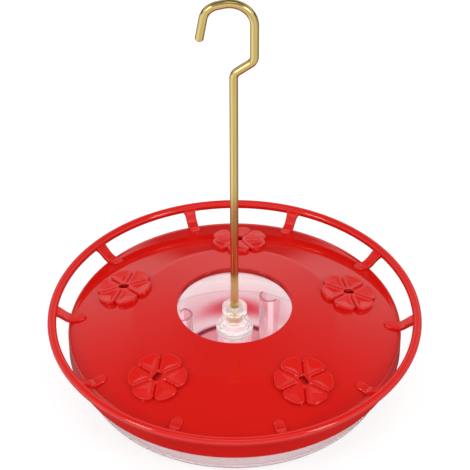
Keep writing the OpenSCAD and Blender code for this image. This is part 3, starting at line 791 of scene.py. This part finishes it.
# %% Describe the flower's face
PETALS, PETAL_TIP, NOTCH_R, PETAL_H = 6, 16.4, 13.0, 2.4
HOLLOW_AT, HOLLOW_D, BORDER = 9.4, 0.8, 1.15
GROOVE_W, GROOVE_D, GROOVE_FROM, GROOVE_RAMP = 1.9, 1.2, 3.4, 2
SLOT_L, SLOT_W, SPIGOT_R, SPIGOT_L, SPIGOT_WALL = 5.6, 3.2, 5.0, 6.6, 1.3
PORT_R, PORT_BEARING, PORT_COUNT = 67.4, 18, 5
half_petal = math.pi / PETALS


def petal_turn(bearing):
    """Angle from the nearest petal's middle line."""
    return (bearing + half_petal) % (2 * half_petal) - half_petal


def flower_edge(bearing):
    part = abs(petal_turn(bearing)) / half_petal
    return NOTCH_R + (PETAL_TIP - NOTCH_R) * (1 - part ** 4)


def slot_edge(bearing, extra=0.0):
    """Radius of the beak slot, a stadium along X, in a direction."""
    half, r = (SLOT_L - SLOT_W) / 2, SLOT_W / 2 + extra
    c, s = abs(math.cos(bearing)), abs(math.sin(bearing))
    if s > 1e-9 and r / s * c <= half:
        return r / s
    return half * c + math.sqrt(max(r * r - (half * s) ** 2, 0))


def hollow_depth(r, turn):
    """Depth of the petal's faceted hollow: nothing at its border, deepest at one point."""
    x, y = r * math.cos(turn), abs(r * math.sin(turn))
    side = GROOVE_W / 2 + BORDER
    nx, ny = -math.sin(half_petal), math.cos(half_petal)
    to_side = -side - (x * nx + y * ny)
    full_side = -side - HOLLOW_AT * nx
    reach = flower_edge(turn) - BORDER
    to_edge = (reach - r) / (reach - HOLLOW_AT)
    share = min(to_side / full_side, to_edge, 1)
    return HOLLOW_D * max(share, 0)


def groove_share(r, bearing):
    """How far down the V groove between two petals a point lies: 1 is its bottom."""
    across = r * math.sin(half_petal - abs(petal_turn(bearing)))
    fade_in = min(1, max(0, (r - GROOVE_FROM) / GROOVE_RAMP))
    return max(0, 1 - across / (GROOVE_W / 2)) * fade_in


def face_height(r, bearing):
    return PETAL_H - groove_share(r, bearing) * GROOVE_D - hollow_depth(r, petal_turn(bearing))


print("petal tip", round(flower_edge(0), 1), "notch", round(flower_edge(half_petal), 1))

# %% Build the port and set one on each place of the cone
MOUTH_LEDGE, RIM_ROUND, FACE_STEPS = 0.35, 0.7, 33
# painted shade from 0 to 1: in the slot, at the feet of walls and at a groove's bottom
SLOT_SHADE, FOOT_SHADE, GROOVE_SHADE = 0.8, 0.3, 0.25


def port_section(bearing):
    """The closed section of a port in one direction: radius, height and how much painted shade
    darkens the red there.
    """
    edge, slot = flower_edge(bearing), slot_edge(bearing)
    mouth = slot_edge(bearing, MOUTH_LEDGE)

    def cone_drop(r):
        """Height of the cone under the port, which falls away to both sides of it."""
        y = r * math.sin(bearing)
        return -0.5 * y * y * math.sin(SLOPE) / (PORT_R + r * math.cos(bearing)) - 0.02

    top = [(mouth, PETAL_H / 2, SLOT_SHADE),
           (mouth, face_height(mouth, bearing) - 0.15, FOOT_SHADE)]
    inner_r, outer_r = mouth + 0.2, edge - RIM_ROUND
    for k in range(FACE_STEPS + 1):
        r = inner_r + (outer_r - inner_r) * k / FACE_STEPS
        top.append((r, face_height(r, bearing), GROOVE_SHADE * groove_share(r, bearing)))
    brink = face_height(outer_r, bearing)
    rim = [(outer_r + RIM_ROUND * math.sin(a), brink - RIM_ROUND * (1 - math.cos(a)), 0)
           for a in [math.radians(v) for v in (15, 30, 45, 60, 75, 90)]]
    wall = [(edge, (brink - RIM_ROUND) * 0.5, 0), (edge, cone_drop(edge), FOOT_SHADE)]
    below = [(SPIGOT_R + 0.3, cone_drop(SPIGOT_R)), (SPIGOT_R, cone_drop(SPIGOT_R) - 0.3),
             (SPIGOT_R, 0.3 - SPIGOT_L), (SPIGOT_R - 0.3, -SPIGOT_L),
             (SPIGOT_R - SPIGOT_WALL, -SPIGOT_L), (SPIGOT_R - SPIGOT_WALL, 0),
             (slot, 0), (slot, PETAL_H / 2)]
    return top + rim + wall + [(r, z, 1) for r, z in below]


def on_cone(i):
    """Where port number i sits, flat on the cone."""
    return (Matrix.Rotation(math.radians(PORT_BEARING + 360 / PORT_COUNT * i), 4, "Z")
            @ Matrix.Translation((PORT_R * MM, 0, cone_z(PORT_R) * MM))
            @ Matrix.Rotation(SLOPE, 4, "Y"))


def make_port(name, place, around=240):
    bm = bmesh.new()
    # each vertex carries how much painted shade darkens the red there
    painted_shade = bm.verts.layers.float.new("painted_shade")
    rings = []
    for k in range(around):
        bearing = 2 * math.pi * k / around
        section = port_section(bearing)
        rings.append([bm.verts.new(place @ Vector((r * math.cos(bearing) * MM,
                                                   r * math.sin(bearing) * MM, z * MM)))
                      for r, z, _ in section])
        for vert, (_, _, shade) in zip(rings[-1], section):
            vert[painted_shade] = shade
    for k, ring_now in enumerate(rings):
        ring_next = rings[(k + 1) % around]
        for j in range(len(ring_now)):
            bm.faces.new((ring_now[j - 1], ring_now[j], ring_next[j], ring_next[j - 1]))
    return finish_mesh(name, bm, port_red, 24)


for i in range(PORT_COUNT):
    port = make_port(f"flower_port_{i + 1}_red", on_cone(i))
    belongs(port, "cover_set", "red_port_plastic", f"flower_port_{i + 1}")

# %% [markdown]
# ## Nectar guards
# A soft cup pushed on each port's spigot lets a beak through and keeps bees out.

# %% Make the guards
GUARD_IN, GUARD_WALL, GUARD_HOLE = 5.05, 1.2, 1.3
guard_top, guard_floor = COVER_WALL + 0.6, SPIGOT_L + SEAT
for i in range(PORT_COUNT):
    guard = spin(f"nectar_guard_{i + 1}_soft", rounded([
        (GUARD_IN, -guard_floor, 0.2), (GUARD_IN, -guard_top, 0.2),
        (GUARD_IN + GUARD_WALL, -guard_top, 0.3),
        (GUARD_IN + GUARD_WALL, -guard_floor - GUARD_WALL, 0.5),
        (GUARD_HOLE, -guard_floor - GUARD_WALL, 0.2), (GUARD_HOLE, -guard_floor, 0.2),
    ], 4), red_silicone, 64, on_cone(i))
    belongs(guard, "cover_set", "soft_silicone", f"nectar_guard_{i + 1}")

# %% [markdown]
# ## Hanger
# One brass rod is bent into the hook in a single plane. The path is walked stretch by
# stretch, straight or bent, and a round section is drawn along it. A UV map runs along
# the rod, so that the die lines of the drawn metal follow the bends.

# %% Walk the rod's path
ROD_FOOT, ROD_BEND_Z = 36.7, 199.0
HOOK_OFFSET, JOG_LEAN, JOG_R, HOOK_LEG = 10.7, 53, 5.4, 18.5
CROWN_R, CROWN_TURN, CROWN_RUN = 12.6, 105, 3.4
SHOULDER_R, SHOULDER_TURN, TIP_L, TIP_CHAMFER = 9.5, 65, 12.4, 0.8
lean = math.radians(JOG_LEAN)
jog_run = (HOOK_OFFSET - 2 * JOG_R * (1 - math.cos(lean))) / math.sin(lean)
stretches = [("run", ROD_BEND_Z - ROD_FOOT), ("bend", JOG_LEAN, JOG_R), ("run", jog_run),
             ("bend", -JOG_LEAN, JOG_R), ("run", HOOK_LEG), ("bend", -CROWN_TURN, CROWN_R),
             ("run", CROWN_RUN), ("bend", -SHOULDER_TURN, SHOULDER_R), ("run", TIP_L)]


def walk(stretches, x, z):
    """Points (x, z, heading) along the path, heading measured from +Z towards +X."""
    heading, path = 0.0, [(x, z, 0.0)]
    for kind, *sizes in stretches:
        steps = 1 if kind == "run" else max(4, int(abs(sizes[0]) / 4))
        for _ in range(steps):
            if kind == "run":
                length = sizes[0] / steps
            else:
                turn = math.radians(sizes[0]) / steps
                heading += turn / 2
                length = 2 * sizes[1] * math.sin(abs(turn) / 2)
            x, z = x + length * math.sin(heading), z + length * math.cos(heading)
            if kind == "bend":
                heading += turn / 2
            path.append((x, z, heading))
    return path


rod_path = walk(stretches, 0.0, ROD_FOOT)
print("rod:", len(rod_path), "stations, tip at", [round(v, 1) for v in rod_path[-1][:2]])

# %% Draw the rod along the path
# shares of the chamfer, along the rod and in from its side, that round its end
TIP_ROUND = ((0.25, 0.12), (0.5, 0.32), (0.75, 0.55), (1.0, 0.8))


def draw_rod(name, path, around=40):
    x, z, heading = path[-1]
    stations = [(x, z, a, ROD_R) for x, z, a in path]
    stations += [(x + math.sin(heading) * s * TIP_CHAMFER,
                  z + math.cos(heading) * s * TIP_CHAMFER,
                  heading, ROD_R - c * TIP_CHAMFER) for s, c in TIP_ROUND]
    bm = bmesh.new()
    uv = bm.loops.layers.uv.new("along")
    rings, distance, lengths = [], 0.0, []
    for i, (x, z, a, r) in enumerate(stations):
        if i:
            distance += math.hypot(x - stations[i - 1][0], z - stations[i - 1][1]) * MM
        lengths.append(distance)
        rings.append([bm.verts.new(((x + r * math.cos(b) * math.cos(a)) * MM,
                                    r * math.sin(b) * MM,
                                    (z - r * math.cos(b) * math.sin(a)) * MM))
                      for b in [2 * math.pi * k / around for k in range(around)]])
    for i in range(len(rings) - 1):
        for k in range(around):
            n = (k + 1) % around
            face = bm.faces.new((rings[i][k], rings[i][n], rings[i + 1][n], rings[i + 1][k]))
            width = 2 * math.pi * ROD_R * MM / around
            for loop, u, v in zip(face.loops, (k, k + 1, k + 1, k), (i, i, i + 1, i + 1)):
                loop[uv].uv = (u * width, lengths[v])
    bm.faces.new(rings[0][::-1])
    bm.faces.new(rings[-1])
    return finish_mesh(name, bm, brass, 60)


rod = draw_rod("hanger_rod_brass", rod_path)
belongs(rod, "hanger", "brass", "hanger_rod")

# %% [markdown]
# ## Nut and washer
# The nut and the washer under the cap's roof hold the rod in. They show only through the
# clear cap, so they keep their CAD shape and take the same finishes.

# %% Finish the nut and the washer
def finish_node(node, material):
    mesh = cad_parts[node].data
    mesh.materials.clear()
    mesh.materials.append(material)
    print(node, "keeps its shape:", material.name)


finish_node("rod_nut", brass)
finish_node("thrust_washer", silicone)

# %% [markdown]
# ## Light and floor
# The feeder stands on white paper in a white room, where gloss and brass would look flat.
# A product table has grey cards and panels round it for that, out of view. Here the
# floor and the sky do their work, by the kind of ray that meets them.
#
# The camera and the rays through clear plastic see white, and the floor takes a soft
# shadow. Mirror rays see greys. The floor is dim near the feeder and bright further out,
# with panels round the axis that draw the stripes along the rod. The sky has a broad
# bright band behind, which lays the sheen on the cone, and a dark ceiling, which leaves
# the near side in its full colour. In front a low bright band lights the brass. Two soft
# lamps give the edges their small highlights.

# %% Make the floor
FLOOR_GREY, FLOOR_GLOW, FLOOR_SIZE = (0.35, 0.34, 0.34, 1), 0.74, 3.0
# radius and brightness of the mirrored floor near the feeder and further out
NEAR_R, NEAR_LEVEL, FAR_R, FAR_LEVEL = 132, 0.18, 158, 1.25
# its brightness round the feeder, by shares of a turn about the axis
PANELS = ((0.0, 0.85), (0.08, 1.10), (0.15, 1.00), (0.21, 0.75), (0.29, 0.68), (0.36, 0.90),
          (0.44, 0.60), (0.58, 0.22), (0.75, 0.32), (0.92, 0.28), (1.0, 0.85))


def floor_paper():
    material, tree = new_material("pale paper floor")
    path = add(tree, "ShaderNodeLightPath").outputs
    seen = add(tree, "ShaderNodeMath", {0: path["Is Camera Ray"], 1: path["Is Glossy Ray"]},
               operation="MAXIMUM")
    seen = add(tree, "ShaderNodeMath", {0: seen.outputs[0], 1: path["Is Transmission Ray"]},
               operation="MAXIMUM")
    paper = add(tree, "ShaderNodeBsdfDiffuse", {"Color": linear("#cfcdcc")})
    shade = add(tree, "ShaderNodeBsdfDiffuse", {"Color": FLOOR_GREY})
    glow = add(tree, "ShaderNodeEmission", {"Color": (1, 1, 1, 1), "Strength": FLOOR_GLOW})
    white = add(tree, "ShaderNodeAddShader", {0: shade.outputs[0], 1: glow.outputs[0]})
    place = add(tree, "ShaderNodeTexCoord").outputs["Object"]
    reach = add(tree, "ShaderNodeVectorMath", {0: place}, operation="LENGTH")
    far = add(tree, "ShaderNodeMapRange",
              {"Value": reach.outputs["Value"], "From Min": NEAR_R * MM,
               "From Max": FAR_R * MM, "To Min": NEAR_LEVEL, "To Max": FAR_LEVEL},
              interpolation_type="SMOOTHSTEP")
    around = add(tree, "ShaderNodeTexGradient", {"Vector": place}, gradient_type="RADIAL")
    panels = add(tree, "ShaderNodeValToRGB", {"Fac": around.outputs["Fac"]})
    set_ramp(panels, PANELS)
    bright = add(tree, "ShaderNodeMath", {0: panels.outputs["Color"], 1: far.outputs["Result"]},
                 operation="MULTIPLY")
    mirrored = add(tree, "ShaderNodeEmission", {"Strength": bright.outputs[0]})
    in_mirror = add(tree, "ShaderNodeMath",
                    {0: path["Is Glossy Ray"], 1: path["Is Transmission Ray"]},
                    operation="SUBTRACT", use_clamp=True)
    seen_white = add(tree, "ShaderNodeMixShader",
                     {0: in_mirror.outputs[0], 1: white.outputs[0], 2: mirrored.outputs[0]})
    both = add(tree, "ShaderNodeMixShader",
               {0: seen.outputs[0], 1: paper.outputs[0], 2: seen_white.outputs[0]})
    add(tree, "ShaderNodeOutputMaterial", {"Surface": both.outputs[0]})
    return material


mesh = bpy.data.meshes.new("floor")
mesh.from_pydata([(x * FLOOR_SIZE, y * FLOOR_SIZE, 0)
                  for x, y in ((-1, -1), (1, -1), (1, 1), (-1, 1))], [], [(0, 1, 2, 3)])
mesh.materials.append(floor_paper())
floor = into_scene("floor", mesh)
print("floor is a stage piece:", floor.name)

# %% Make the sky
# brightness from the horizon, at 0, up to the zenith, at 1
SKY_BEHIND = ((0.0, 0.06), (0.12, 0.08), (0.18, 0.62), (0.27, 0.84), (0.40, 0.78), (0.62, 0.45),
              (0.86, 0.12), (1.0, 0.10))
SKY_BEFORE = ((0.0, 1.0), (0.12, 0.8), (0.15, 1.8), (0.24, 1.8), (0.28, 0.7), (0.40, 0.6),
              (0.80, 0.35), (0.90, 0.6), (0.95, 1.6), (1.0, 1.2))
# where along Y the sky before turns to the sky behind
BEFORE_TO, BEHIND_FROM = -0.25, 0.1
ROOM_LIGHT = 0.88


def studio_world():
    world = bpy.data.worlds.new("studio")
    world.use_nodes = True
    tree = world.node_tree
    tree.nodes.clear()
    path = add(tree, "ShaderNodeLightPath").outputs
    direction = add(tree, "ShaderNodeTexCoord").outputs["Generated"]
    axes = add(tree, "ShaderNodeSeparateXYZ", {"Vector": direction}).outputs
    behind = add(tree, "ShaderNodeValToRGB", {"Fac": axes["Z"]})
    set_ramp(behind, SKY_BEHIND)
    before = add(tree, "ShaderNodeValToRGB", {"Fac": axes["Z"]})
    set_ramp(before, SKY_BEFORE)
    side = add(tree, "ShaderNodeMapRange",
               {"Value": axes["Y"], "From Min": BEFORE_TO, "From Max": BEHIND_FROM})
    sky = add(tree, "ShaderNodeMix",
              {"Factor": side.outputs["Result"], 6: before.outputs["Color"],
               7: behind.outputs["Color"]}, data_type="RGBA")
    sheen = add(tree, "ShaderNodeBackground", {"Color": sky.outputs[2], "Strength": 1.0})
    plain = add(tree, "ShaderNodeBackground", {"Color": (1, 1, 1, 1), "Strength": ROOM_LIGHT})
    white = add(tree, "ShaderNodeBackground", {"Color": (1, 1, 1, 1), "Strength": 1.0})
    mirror = add(tree, "ShaderNodeMixShader",
                 {0: path["Is Glossy Ray"], 1: plain.outputs[0], 2: sheen.outputs[0]})
    direct = add(tree, "ShaderNodeMath",
                 {0: path["Is Camera Ray"], 1: path["Is Transmission Ray"]},
                 operation="MAXIMUM")
    both = add(tree, "ShaderNodeMixShader",
               {0: direct.outputs[0], 1: mirror.outputs[0], 2: white.outputs[0]})
    add(tree, "ShaderNodeOutputWorld", {"Surface": both.outputs[0]})
    return world


scene.world = studio_world()
scene.view_settings.view_transform = "Standard"
print("world:", scene.world.name, "|", len(SKY_BEHIND) + len(SKY_BEFORE), "greys")

# %% Make the lamps
LAMP_SIZE, LAMP_WATTS, LAMP_AIM = (0.3, 0.42), 3.2, Vector((0, 0, 0.03))


def lamp(name, at):
    data = bpy.data.lights.new(name, "AREA")
    data.shape, data.energy = "RECTANGLE", LAMP_WATTS
    data.size, data.size_y = LAMP_SIZE
    light = into_scene(name, data)
    light.location = at
    light.rotation_mode = "QUATERNION"
    light.rotation_quaternion = (LAMP_AIM - Vector(at)).to_track_quat("-Z", "Y")


lamp("soft lamp left", (-0.95, -0.75, 0.75))
lamp("soft lamp right", (0.95, -0.75, 0.75))
